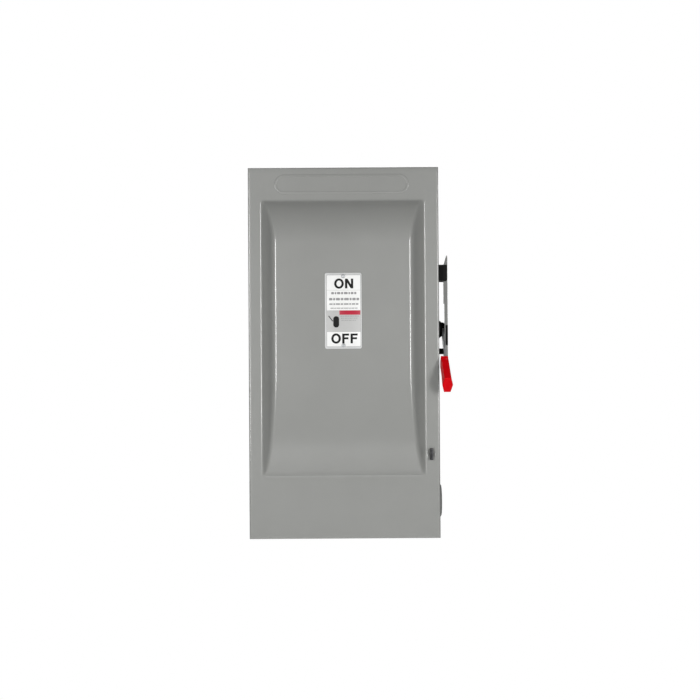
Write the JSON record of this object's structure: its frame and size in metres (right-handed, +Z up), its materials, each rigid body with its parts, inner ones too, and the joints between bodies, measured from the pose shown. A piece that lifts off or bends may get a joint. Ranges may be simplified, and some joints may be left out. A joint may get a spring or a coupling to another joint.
{
  "type": "ac disconnect switch box",
  "caption": "Wall-hung grey sheet-steel disconnect switch with a domed hinged door, a side lever with a red grip, and fused blade switch poles inside.",
  "frame": {"origin": "on the wall, at the middle of the enclosure's flat back", "axes": "+X to the right seen from the front, +Y into the wall, +Z up; the door faces -Y"},
  "size_m": [0.4101, 0.2148, 0.75],
  "materials": {
    "grey_paint": "semi-gloss grey enamel",
    "zinc_steel": "zinc plated",
    "label_face": "printed laminate",
    "black_plastic": "moulded black",
    "red_grip": "moulded red",
    "red_fibre": "vulcanised fibre",
    "black_phenolic": "moulded phenolic",
    "clear_sheet": "clear polycarbonate",
    "aluminium": "tin plated",
    "copper": "bare copper",
    "fuse_tube": "glass-melamine tube"
  },
  "bodies": {
    "enclosure": {"enclosure_wrapper": "grey_paint", "top_endwall": "grey_paint", "bottom_endwall": "grey_paint", "padlock_plate": "grey_paint", "hinge_upper_body_leaf": "zinc_steel", "hinge_upper_pin": "zinc_steel", "hinge_lower_body_leaf": "zinc_steel", "hinge_lower_pin": "zinc_steel", "mechanism_frame": "zinc_steel", "operating_spring": "zinc_steel", "handle_bearing": "black_plastic", "on_stop_block": "black_plastic", "off_stop_pin": "black_plastic", "plate_spacer": "black_plastic", "edge_guard": "black_plastic", "switch_base": "black_phenolic", "ground_bar": "aluminium", "line_jaw_1": "copper", "blade_hinge_1": "copper", "lower_clip_1": "copper", "line_lug_1": "aluminium", "load_lug_1": "aluminium", "arc_chute_1": "black_phenolic", "fuse_1": "fuse_tube", "line_jaw_2": "copper", "blade_hinge_2": "copper", "lower_clip_2": "copper", "line_lug_2": "aluminium", "load_lug_2": "aluminium", "arc_chute_2": "black_phenolic", "fuse_2": "fuse_tube", "line_jaw_3": "copper", "blade_hinge_3": "copper", "lower_clip_3": "copper", "line_lug_3": "aluminium", "load_lug_3": "aluminium", "arc_chute_3": "black_phenolic", "fuse_3": "fuse_tube"},
    "door": {"door_panel": "grey_paint", "label_plate": "label_face", "label_rivet_upper": "zinc_steel", "label_rivet_lower": "zinc_steel", "hinge_upper_door_leaf": "zinc_steel", "hinge_lower_door_leaf": "zinc_steel", "door_catch": "zinc_steel"},
    "latch": {"latch_screw": "zinc_steel", "latch_pawl": "zinc_steel"},
    "handle": {"handle_lever": "zinc_steel", "handle_grip": "red_grip", "handle_shaft": "zinc_steel", "crank": "zinc_steel", "interlock_hook": "zinc_steel", "interlock_pin": "zinc_steel"},
    "link": {"drive_link": "zinc_steel"},
    "rotor": {"rotor_crossbar": "red_fibre", "blade_1": "copper", "blade_2": "copper", "blade_3": "copper"},
    "shield": {"line_shield": "clear_sheet"}
  },
  "joints": [
    {"name": "door_hinge", "type": "hinge", "parent": "enclosure", "child": "door", "pos_m": [-0.191, -0.132, 0], "axis": [0, 0, -1], "range_deg": [0, 120]},
    {"name": "latch_turn", "type": "hinge", "parent": "door", "child": "latch", "pos_m": [0.175, -0.145, -0.205], "axis": [0, 1, 0], "range_deg": [0, 90]},
    {"name": "handle_pivot", "type": "hinge", "parent": "enclosure", "child": "handle", "pos_m": [0.19, -0.075, 0.048], "axis": [-1, 0, 0], "range_deg": [0, 90]},
    {"name": "link_pivot", "type": "hinge", "parent": "handle", "child": "link", "pos_m": [0.159, -0.09729, 0.02793], "axis": [-1, 0, 0], "range_deg": [-90, 0]},
    {"name": "rotor_pivot", "type": "hinge", "parent": "enclosure", "child": "rotor", "pos_m": [0, -0.062, 0.11], "axis": [-1, 0, 0], "range_deg": [0, 90]},
    {"name": "shield_slide", "type": "slide", "parent": "enclosure", "child": "shield", "axis": [0, 0, 1], "range_m": [0, 0.03]}
  ],
  "couplings": [
    {"joint": "link_pivot", "follows": "handle_pivot", "ratio": -1},
    {"joint": "rotor_pivot", "follows": "handle_pivot", "ratio": 1}
  ]
}
